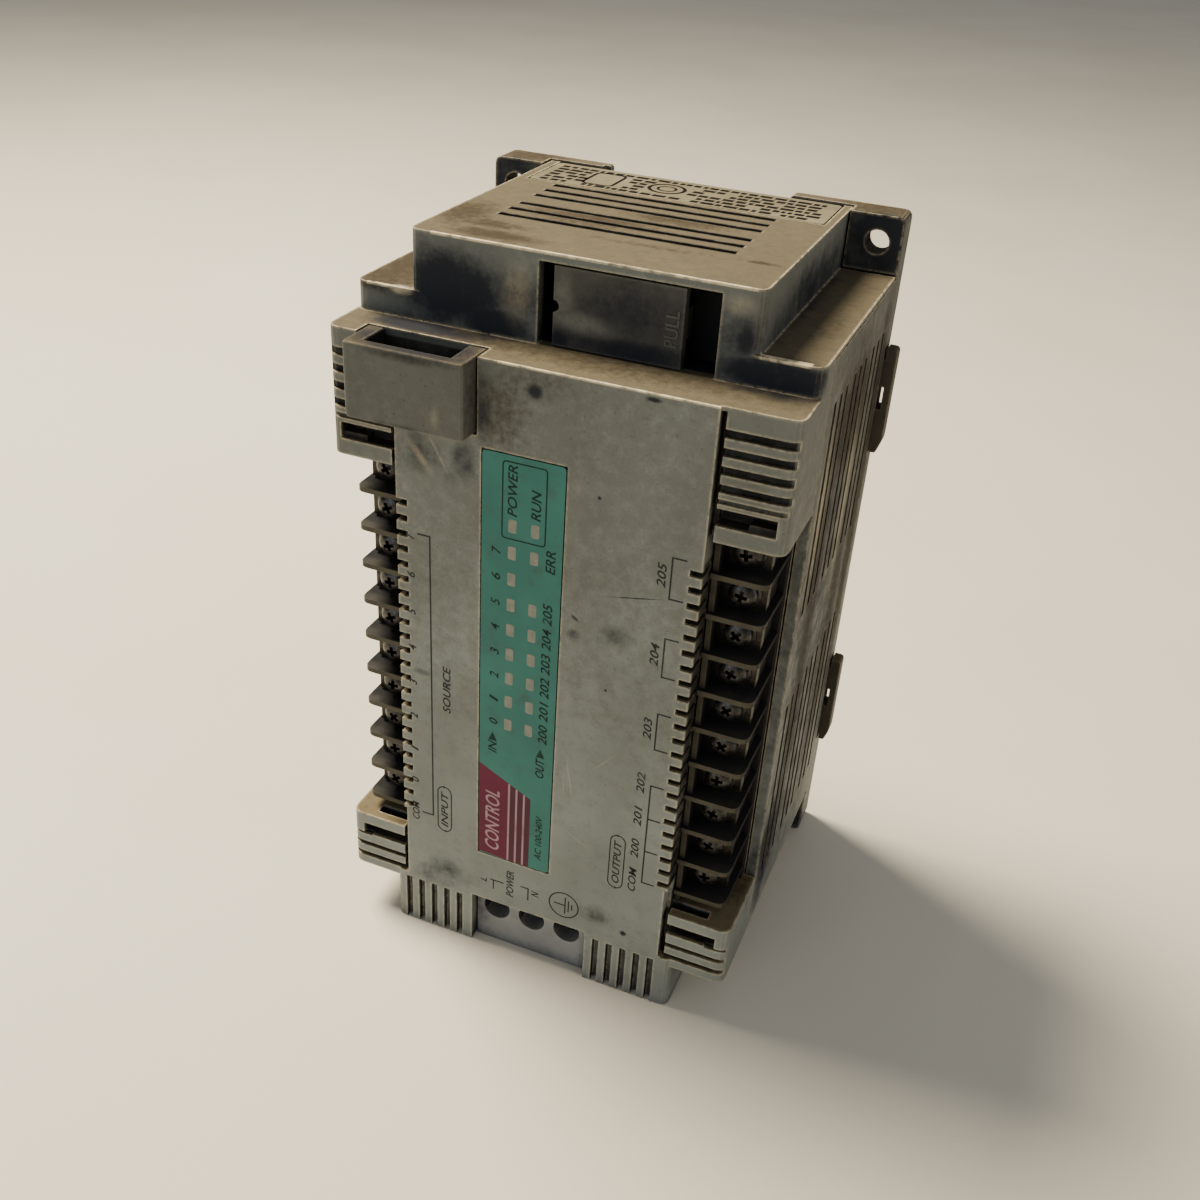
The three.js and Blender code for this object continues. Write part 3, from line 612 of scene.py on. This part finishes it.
# ------------------------------------------------------------------ printed marks
def link(name, mesh):
    piece = bpy.data.objects.new(name, mesh)
    bpy.context.scene.collection.objects.link(piece)
    return piece


def rounded(u0, u1, v0, v1, radius, steps=5):
    """A rectangle's outline with round corners, anticlockwise."""
    corners = [(u1, v0, -90), (u1, v1, 0), (u0, v1, 90), (u0, v0, 180)]
    points = []
    for u, v, start in corners:
        cu = u - radius if u == u1 else u + radius
        cv = v - radius if v == v1 else v + radius
        for step in range(steps + 1):
            angle = math.radians(start + 90 * step / steps)
            points.append((cu + radius * math.cos(angle), cv + radius * math.sin(angle)))
    return points


def ring(u, v, radius, sides=40):
    return [(u + radius * math.cos(2 * math.pi * i / sides), v + radius * math.sin(2 * math.pi * i / sides))
            for i in range(sides)]


class Print:
    """Thin closed shapes lying on one face, gathered into one piece. place(u, v, lift) gives a point."""

    def __init__(self, name, place, thickness=0.03):
        self.name, self.place, self.thickness = name, place, thickness
        self.bm = bmesh.new()

    def _solid(self, loops, faces, lift, material):
        """Closes flat faces, given as lists of point numbers, into a thin slab."""
        under = [self.bm.verts.new(self.place(u, v, lift)) for u, v in loops]
        over = [self.bm.verts.new(self.place(u, v, lift + self.thickness)) for u, v in loops]
        rims = {}
        for face in faces:
            self.bm.faces.new([over[i] for i in face]).material_index = material
            self.bm.faces.new([under[i] for i in reversed(face)]).material_index = material
            for a, b in zip(face, face[1:] + face[:1]):
                rims[(a, b)] = True
        for a, b in rims:
            if (b, a) not in rims:
                self.bm.faces.new([under[a], under[b], over[b], over[a]]).material_index = material

    def patch(self, points, lift=0.0, material=0):
        self._solid(points, [list(range(len(points)))], lift, material)

    def stroke(self, points, width, closed=False, lift=0.0, material=0):
        """A line of one width through points, mitred at its corners."""
        count = len(points)
        sides = []
        for i, (u, v) in enumerate(points):
            before = points[i - 1] if closed or i > 0 else None
            after = points[(i + 1) % count] if closed or i < count - 1 else None
            ways = []
            if before:
                ways.append(Vector((u - before[0], v - before[1])).normalized())
            if after:
                ways.append(Vector((after[0] - u, after[1] - v)).normalized())
            way = sum(ways, Vector((0, 0))).normalized()
            across = Vector((-way.y, way.x))
            first = Vector((-ways[0].y, ways[0].x))
            reach = width / 2 / max(0.4, across.dot(first))
            sides.append(((u + across.x * reach, v + across.y * reach),
                          (u - across.x * reach, v - across.y * reach)))
        loops = [side[0] for side in sides] + [side[1] for side in sides]
        last = count if closed else count - 1
        faces = [[i, count + i, count + (i + 1) % count, (i + 1) % count] for i in range(last)]
        self._solid(loops, faces, lift, material)

    def words(self, text, u, v, height, length, slant=0.22, lift=0.0, material=0):
        """Lettering centred on (u, v), read upwards along +v."""
        curve = bpy.data.curves.new("lettering", "FONT")
        curve.body = text
        curve.shear = slant
        curve.resolution_u = 3
        curve.extrude = 0.5
        curve.offset = 0.012
        holder = link("lettering", curve)
        bpy.context.view_layer.update()
        mesh = bpy.data.meshes.new_from_object(holder.evaluated_get(bpy.context.evaluated_depsgraph_get()))
        bpy.data.objects.remove(holder)
        bpy.data.curves.remove(curve)
        xs = [vertex.co.x for vertex in mesh.vertices]
        ys = [vertex.co.y for vertex in mesh.vertices]
        mid_x, mid_y = (min(xs) + max(xs)) / 2, (min(ys) + max(ys)) / 2
        along, tall = length / (max(xs) - min(xs)), height / (max(ys) - min(ys))
        for vertex in mesh.vertices:
            run, rise = (vertex.co.x - mid_x) * along, (vertex.co.y - mid_y) * tall
            vertex.co = self.place(u - rise, v + run, lift + self.thickness * (vertex.co.z + 0.5))
        for polygon in mesh.polygons:
            polygon.material_index = material
        self.bm.from_mesh(mesh)
        bpy.data.meshes.remove(mesh)

    def finish(self, body, slot, *materials):
        bmesh.ops.remove_doubles(self.bm, verts=self.bm.verts, dist=0.000001)
        bmesh.ops.recalc_face_normals(self.bm, faces=self.bm.faces)
        mesh = bpy.data.meshes.new(self.name)
        self.bm.to_mesh(mesh)
        self.bm.free()
        piece = link(self.name, mesh)
        paint(piece, *materials)
        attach(piece, body)
        return piece


def on_panel(u, v, lift):
    return at(u, -lift, v)


def on_top(u, v, lift):
    return at(u, v, RATING_HIGH.z + lift)


def pill(sheet, u, v0, v1, word, word_height):
    """A word in an upright frame with round ends."""
    half = 1.45
    sheet.stroke(rounded(u - half, u + half, v0, v1, half), 0.22, closed=True)
    sheet.words(word, u, (v0 + v1) / 2, word_height, v1 - v0 - 2.4)


def panel_marks(ink):
    """The generic legends and brackets printed on the front panel."""
    sheet = Print("panel_marks", on_panel)
    line = 0.28
    pitch = ROWS[0] - ROWS[1]
    digit = 1.55
    # inputs: one bracket round eight numbered rows and the common
    for number, row in zip("76543210", ROWS[1:9]):
        sheet.words(number, -24.9, row - 0.8, digit, 1.1)
    sheet.words("COM", -24.9, ROWS[9] - 0.9, digit, 4.4)
    top, bottom = ROWS[1], ROWS[9] - 0.8
    sheet.stroke([(-23.5, top), (-21.1, top), (-21.1, bottom), (-23.5, bottom)], line)
    sheet.words("SOURCE", -18.0, 60.3, 1.6, 10.2)
    pill(sheet, -18.6, 26.4, 37.4, "INPUT", 1.5)
    # outputs: three separate contacts, then three that share a common
    edge, stem = 24.8, 22.4
    for index, number in enumerate(("205", "204", "203")):
        upper = ROWS[2 * index] - 0.2
        lower = upper - pitch
        sheet.stroke([(edge, upper), (stem, upper), (stem, lower), (edge, lower)], line)
        sheet.words(number, 20.8, upper - 3.6, digit, 4.5)
    shared = [row - 0.6 for row in ROWS[6:10]]
    sheet.stroke([(edge, shared[0]), (stem, shared[0]), (stem, shared[-1]), (edge, shared[-1])], line)
    for row in shared[1:-1]:
        sheet.stroke([(stem, row), (edge, row)], line)
    for word, row, length in zip(("202", "201", "200", "COM"), shared, (4.5, 4.5, 4.5, 5.8)):
        sheet.words(word, 20.5, row, digit, length)
    pill(sheet, 17.2, 26.3, 39.0, "OUTPUT", 1.5)
    # power terminals: line, neutral and protective earth
    sheet.words("L", -10.0, 17.3, 1.3, 1.0)
    sheet.stroke([(-8.6, 17.9), (-5.7, 17.9)], 0.25)
    sheet.stroke([(-7.9, 17.9), (-7.9, 15.6)], 0.25)
    sheet.words("POWER", -4.3, 18.3, 1.6, 6.6)
    sheet.stroke([(-2.0, 18.6), (-0.4, 18.6), (-0.4, 15.6)], 0.25)
    sheet.words("N", 1.1, 17.8, 1.6, 1.3)
    earth = (7.2, 17.5)
    sheet.stroke(ring(*earth, 3.05), 0.26, closed=True)
    sheet.stroke([(earth[0] - 2.1, earth[1]), (earth[0] + 0.3, earth[1])], 0.25)
    for reach, half in ((0.3, 2.1), (1.0, 1.4), (1.7, 0.7)):
        sheet.stroke([(earth[0] + reach, earth[1] - half), (earth[0] + reach, earth[1] + half)], 0.25)
    sheet.finish("case", "label_film", ink)


def indicator_label(teal, crimson, plum, windows, ink, pale_ink):
    """The film over the indicator lights: teal, with a slanted crimson corner and two columns of windows."""
    sheet = Print("indicator_film", on_panel)
    u0, u1, v0, v1 = LABEL_LOW.x + 0.05, LABEL_HIGH.x - 0.05, LABEL_LOW.z + 0.05, LABEL_HIGH.z - 0.05
    sheet.thickness = 0.25
    sheet.patch(rounded(u0, u1, v0, v1, 0.7), lift=-0.25)
    sheet.thickness = 0.015
    # crimson corner, cut off at a slant, and the striped band beside it
    corner, split, right = 46.2, -5.3, -0.6
    slope = (40.9 - corner) / (right - u0)
    cut = corner + slope * (split - u0)
    sheet.patch([(u0 + 0.02, v0 + 0.3), (split, v0 + 0.02), (split, cut), (u0 + 0.02, corner)], material=1)
    sheet.patch([(split, v0 + 0.02), (right, v0 + 0.02), (right, corner + slope * (right - u0)), (split, cut)],
                material=2)
    for index in range(3):
        u = split + 0.3 + 1.55 * index
        sheet.stroke([(u, v0 + 0.02), (u, corner + slope * (u - u0))], 0.4, lift=0.015, material=5)
    sheet.words("CONTROL", (u0 + split) / 2 - 0.1, 33.2, 3.0, 14.6, slant=0.3, lift=0.015, material=5)
    # windows over the light guide
    for column, rows in zip(LED_COLUMNS, (range(9), (0, 1, 3, 4, 5, 6, 7, 8))):
        for row in rows:
            v = LED_TOP - LED_PITCH * row
            sheet.patch(rounded(column - 0.75, column + 0.75, v - 1.25, v + 1.25, 0.35), material=3)
    # legends
    digit_u, number_u = -8.5, 1.3
    for index, number in enumerate("76543210"):
        sheet.words(number, digit_u, LED_TOP - LED_PITCH * (index + 1), 1.7, 1.25, material=4)
    for index, number in enumerate(("205", "204", "203", "202", "201", "200")):
        sheet.words(number, number_u, LED_TOP - LED_PITCH * (index + 3), 1.75, 4.3, material=4)
    sheet.words("POWER", LED_COLUMNS[0] - 0.1, 103.7, 1.75, 9.3, material=4)
    sheet.words("RUN", LED_COLUMNS[1] + 0.1, 102.0, 1.75, 5.5, material=4)
    sheet.words("ERR", number_u + 0.2, 92.2, 1.75, 4.4, material=4)
    sheet.stroke(rounded(-7.5, 0.35, 94.8, 108.8, 0.6), 0.24, closed=True, material=4)
    arrows = (("IN", digit_u - 0.1, 50.7, 2.6, 54.0), ("OUT", 1.0, 48.9, 4.4, 53.2))
    for word, u, v, length, tip in arrows:
        sheet.words(word, u, v, 1.75, length, material=4)
        sheet.patch([(u - 0.85, tip - 1.9), (u + 0.85, tip - 1.9), (u, tip)], material=4)
    sheet.words("AC 100-240V", 1.3, 32.2, 1.35, 10.8, material=4)
    piece = sheet.finish("case", "label_film", teal, crimson, plum, windows, ink, pale_ink)
    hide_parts("indicator_label")


def rating_label(film, ink):
    """A pale label with rows of illegible small print, and two plain frames."""
    sheet = Print("rating_film", on_top)
    sheet.thickness = 0.25
    u0, u1, v0, v1 = RATING_LOW.x + 0.1, RATING_HIGH.x - 0.1, RATING_LOW.y + 0.1, RATING_HIGH.y - 0.1
    sheet.patch(rounded(u0, u1, v0, v1, 0.8), lift=-0.25)
    sheet.thickness = 0.012
    half, lean, row_pitch = 0.68, 0.15, 2.15
    draw = random.Random(11)
    for row in range(6):
        v = v0 + 1.5 + row_pitch * row
        u = u0 + 1.5
        while u < u1 - 3:
            run = draw.uniform(0.7, 2.6)
            framed = -19.5 < u < -11.5 or -7.5 < u < 1.0
            if not (framed and 1 <= row <= 4) and draw.random() > 0.1:
                word = [(u, v - half), (u + run, v - half), (u + run + lean, v + half), (u + lean, v + half)]
                sheet.patch(word, material=1)
            u += run + draw.uniform(0.3, 0.55)
    sheet.stroke(rounded(-18.4, -12.6, v0 + 2.6, v1 - 3.0, 1.2), 0.6, closed=True, material=1)
    sheet.stroke(ring(-3.2, (v0 + v1) / 2, 3.3), 0.7, closed=True, material=1)
    sheet.stroke(ring(-3.2, (v0 + v1) / 2, 1.7, 24), 0.5, closed=True, material=1)
    piece = sheet.finish("case", "rating_film", film, ink)
    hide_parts("rating_label")


def cover_legend(material):
    """The word that tells which end of the cover to pull, raised on the moulding."""
    front = extent("expansion_cover")[0].y

    def on_cover(u, v, lift):
        return at(u, front - lift, v)

    sheet = Print("cover_legend", on_cover, thickness=0.16)
    sheet.words("PULL", 15.7, 131.9, 2.2, 5.8, slant=0.0)
    sheet.finish("expansion_cover", "cover_plastic", material)


# ------------------------------------------------------------------ screws and contact plates
def lathe(bm, profile, sides=40):
    """Turns (radius, depth) points about the Y axis."""
    rings = []
    for radius, depth in profile:
        if radius == 0:
            rings.append([bm.verts.new((0, depth * MM, 0))])
            continue
        rings.append([bm.verts.new((radius * MM * math.cos(2 * math.pi * i / sides), depth * MM,
                                    radius * MM * math.sin(2 * math.pi * i / sides))) for i in range(sides)])
    for near, far in zip(rings, rings[1:]):
        for i in range(sides):
            j = (i + 1) % sides
            loop = [near[i % len(near)], far[i % len(far)], far[j % len(far)], near[j % len(near)]]
            unique = list(dict.fromkeys(loop))
            if len(unique) > 2:
                bm.faces.new(unique)


def recess_tool(reach, width, depth):
    """A cross driver's tip: two crossed blades that taper towards the bottom of the recess."""
    bm = bmesh.new()
    for turn in (0, 90):
        spin = Matrix.Rotation(math.radians(turn), 4, "Y")
        mouth = [(-reach, -1, -width), (reach, -1, -width), (reach, -1, width), (-reach, -1, width)]
        floor = [(x * 0.45, depth, z * 0.7) for x, _, z in mouth]
        verts = [bm.verts.new(spin @ (Vector(point) * MM)) for point in mouth + floor]
        bm.faces.new(verts[:4])
        bm.faces.new(verts[7:3:-1])
        for i in range(4):
            j = (i + 1) % 4
            bm.faces.new([verts[j], verts[i], verts[4 + i], verts[4 + j]])
    bmesh.ops.recalc_face_normals(bm, faces=bm.faces)
    mesh = bpy.data.meshes.new("recess_tool")
    bm.to_mesh(mesh)
    bm.free()
    return link("recess_tool", mesh)


def screw_mesh(name, head, washers, shank_end):
    """A domed cross-recess head with its washers, in millimetres from the front of the head."""
    bm = bmesh.new()
    dome = [(0, 0)] + [(head * math.sin(math.radians(a)), 1.25 * (1 - math.cos(math.radians(a)))) for a in
                       range(12, 73, 12)]
    profile = dome + [(head, 1.05), (head, 1.5)]
    depth = 1.55
    for radius, thick in washers:
        profile += [(radius - 0.08, depth), (radius, depth + 0.1), (radius, depth + thick - 0.08),
                    (radius - 0.08, depth + thick)]
        depth += thick + 0.02
    shank = 1.45
    profile += [(shank, depth), (shank, shank_end - 0.5), (shank - 0.5, shank_end), (0, shank_end)]
    lathe(bm, profile)
    bmesh.ops.recalc_face_normals(bm, faces=bm.faces)
    mesh = bpy.data.meshes.new(name)
    bm.to_mesh(mesh)
    bm.free()
    blank = link(name + "_blank", mesh)
    tool = recess_tool(head * 0.62, 0.42, 1.1)
    drill = blank.modifiers.new("recess", "BOOLEAN")
    drill.operation = "DIFFERENCE"
    drill.object = tool
    drill.use_self = True
    rim = blank.modifiers.new("rim", "BEVEL")
    rim.width = 0.07 * MM
    rim.segments = 1
    rim.angle_limit = math.radians(40)
    bpy.context.view_layer.update()
    cut = bpy.data.meshes.new_from_object(blank.evaluated_get(bpy.context.evaluated_depsgraph_get()))
    cut.name = name
    for spare in (blank, tool):
        bpy.data.objects.remove(spare)
    cut.shade_smooth()
    cut.set_sharp_from_angle(angle=math.radians(32))
    return cut


def place_screws(steel):
    """Puts a detailed screw in place of each plain one, turned at random."""
    terminal = screw_mesh("terminal_screw", 2.45, ((2.35, 0.22), (3.0, 0.3)), 5.2)
    power = screw_mesh("power_screw", 2.25, ((2.3, 0.45),), 5.2)
    draw = random.Random(5)
    jobs = [(f"{side}_screw_{number}", terminal) for side in ("input", "output") for number in TERMINALS]
    jobs += [(f"power_screw_{number}", power) for number in (1, 2, 3)]
    for node, mesh in jobs:
        low, high = extent(node)
        if not mesh.materials:
            mesh.materials.append(steel)
        piece = link(f"{node}_detailed", mesh)
        piece.location = at((low.x + high.x) / 2, low.y, (low.z + high.z) / 2)
        piece.rotation_euler = (0, math.radians(draw.uniform(0, 90)), 0)
        bpy.context.view_layer.update()
        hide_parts(node)
        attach(piece, node)


def contact_plates(steel):
    """The plated metal strip under each screw, with its outer end turned back into the block."""
    for side, name in ((-1, "input"), (1, "output")):
        bm = bmesh.new()
        for number in TERMINALS:
            low, high = extent(f"{name}_screw_{number}")
            x, z = (low.x + high.x) / 2, (low.z + high.z) / 2
            add_plate(bm, x, z, side)
        bmesh.ops.recalc_face_normals(bm, faces=bm.faces)
        mesh = bpy.data.meshes.new(f"{name}_contact_plates")
        bm.to_mesh(mesh)
        bm.free()
        piece = link(f"{name}_contact_plates", mesh)
        paint(piece, steel)
        rim = piece.modifiers.new("rim", "BEVEL")
        rim.width = 0.06 * MM
        rim.segments = 2
        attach(piece, "case")


def add_plate(bm, x, z, side):
    """One contact plate under the screw at x, z; side is 1 where the outer end points to +x."""
    half, front, back, fold = 2.9, 7.76, 7.98, 9.6
    inner, outer = x - side * 3.3, x + side * 3.95
    bend = outer - side * 0.24
    outline = [(inner, front), (outer, front), (outer, fold), (bend, fold), (bend, back), (inner, back)]
    lower = [bm.verts.new(at(u, v, z - half)) for u, v in outline]
    upper = [bm.verts.new(at(u, v, z + half)) for u, v in outline]
    bm.faces.new(lower)
    bm.faces.new(upper[::-1])
    for i in range(len(outline)):
        j = (i + 1) % len(outline)
        bm.faces.new([lower[i], upper[i], upper[j], lower[j]])


# ------------------------------------------------------------------ dressing the frame
def dress():
    """Gives every CAD node its material and its edge radius in millimetres."""
    front, rear, terminal = case_front_material(), case_rear_material(), terminal_material()
    hood, cover, latch = hood_material(), cover_material(), latch_material()
    board, window = board_material(), window_material()
    relay = dark_moulding("relay_housing", rgb(22, 22, 24), 0.35)
    plug = dark_moulding("connector_housing", rgb(26, 26, 28), 0.5)
    chip = dark_moulding("chip_package", rgb(18, 18, 19), 0.42)
    finishes = {
        "front_case": (front, 0.35), "rear_base": (rear, 0.3), "port_hood": (hood, 0.35),
        "expansion_cover": (cover, 0.2), "din_latch_upper": (latch, 0.3), "din_latch_lower": (latch, 0.3),
        "input_terminal_block": (terminal, 0.18), "output_terminal_block": (terminal, 0.18),
        "power_terminal_block": (power_block_material(), 0.2), "main_board": (board, 0.1),
        "power_board": (board, 0.1), "led_board": (board, 0.1), "light_guide": (window, 0.1),
        "transformer": (lamination_material(), 0.3),
        "filter_capacitor_1": (can_material(), 0.5), "filter_capacitor_2": (can_material(), 0.5),
        "microcontroller": (chip, 0.2), "board_header": (plug, 0.2), "expansion_connector": (plug, 0.15),
        "loader_connector": (plug, 0.15),
    }
    for number in range(1, 7):
        finishes[f"output_relay_{number}"] = (relay, 0.3)
    for node, (material, width) in finishes.items():
        paint(NODES[node], material)
        soften(node, width)
    pale, dark, wear_and_highlight = rgb(88, 88, 84), rgb(74, 74, 71), rgb(110, 108, 100)
    cover_legend(moulded_plastic("legend_plastic", pale, dark, wear_and_highlight, top=0))


def print_marks():
    """The inks and films, and the three printed pieces made with them."""
    ink = worn_ink("panel_ink", rgb(44, 44, 45), CASE_DARK, 0.96)
    teal = satin_film("teal_film", rgb(58, 116, 108), rgb(51, 103, 97), 0.4)
    crimson = satin_film("crimson_film", rgb(96, 27, 56), rgb(85, 25, 50), 0.3)
    plum = satin_film("plum_film", rgb(78, 34, 52), rgb(66, 32, 48), 0.3)
    film_ink = worn_ink("film_ink", rgb(22, 36, 36), rgb(72, 117, 105), 0.95)
    pale_ink = worn_ink("pale_ink", rgb(160, 132, 140), rgb(110, 44, 64), 0.95)
    rating = satin_film("rating_film", rgb(136, 128, 102), rgb(118, 110, 86), 0.5)
    rating_ink = worn_ink("rating_ink", rgb(12, 11, 10), rgb(44, 41, 34), 1.0)
    panel_marks(ink)
    indicator_label(teal, crimson, plum, window_material(), film_ink, pale_ink)
    rating_label(rating, rating_ink)


# ------------------------------------------------------------------ studio
def studio():
    """A paper floor, three soft lights and a dim cool sky."""
    floor_mesh = bpy.data.meshes.new("floor")
    bm = bmesh.new()
    bmesh.ops.create_grid(bm, x_segments=2, y_segments=2, size=3.0)
    bm.to_mesh(floor_mesh)
    bm.free()
    floor = link("floor", floor_mesh)
    paint(floor, floor_material())

    add_light("key_light", (-0.46, 0.1, 0.8), 0.4, 20.0, (1.0, 0.9, 0.73))
    add_light("front_fill", (-0.25, -0.95, 0.2), 0.9, 2.2, (0.87, 0.94, 1.0))
    add_light("side_fill", (0.9, -0.05, 0.5), 0.7, 1.4, (1.0, 0.92, 0.82))
    world = bpy.data.worlds.new("studio")
    world.use_nodes = True
    world.node_tree.nodes["Background"].inputs["Color"].default_value = (0.84, 0.88, 0.94, 1)
    world.node_tree.nodes["Background"].inputs["Strength"].default_value = 0.26
    bpy.context.scene.world = world


def add_light(name, place, size, power, colour):
    data = bpy.data.lights.new(name, "AREA")
    data.shape = "DISK"
    data.size = size
    data.energy = power
    data.color = colour
    light = bpy.data.objects.new(name, data)
    light.location = place
    light.rotation_euler = (Vector((0, 0, 0.07)) - Vector(place)).to_track_quat("-Z", "Y").to_euler()
    bpy.context.scene.collection.objects.link(light)


def camera():
    """The viewpoint fitted to the corners of the controller."""
    data = bpy.data.cameras.new("camera")
    data.sensor_width = 36
    data.lens = 39.14
    data.clip_start = 0.01
    eye, aim = at(74.7, -172.6, 198.9), at(10.6, 0.0, 87.6)
    roll = math.radians(3.73)
    turn = (aim - eye).to_track_quat("-Z", "Y").to_matrix().to_4x4() @ Matrix.Rotation(roll, 4, "Z")
    piece = bpy.data.objects.new("camera", data)
    piece.matrix_world = Matrix.Translation(eye) @ turn
    bpy.context.scene.collection.objects.link(piece)
    bpy.context.scene.camera = piece


camera()
studio()
dress()
print_marks()
screw_steel = steel_material("tarnished_steel", rgb(84, 84, 83), rgb(44, 43, 43), 0.5)
plate_steel = steel_material("plated_steel", rgb(72, 68, 60), rgb(42, 40, 37), 0.35)
place_screws(screw_steel)
contact_plates(plate_steel)

bpy.context.view_layer.update()
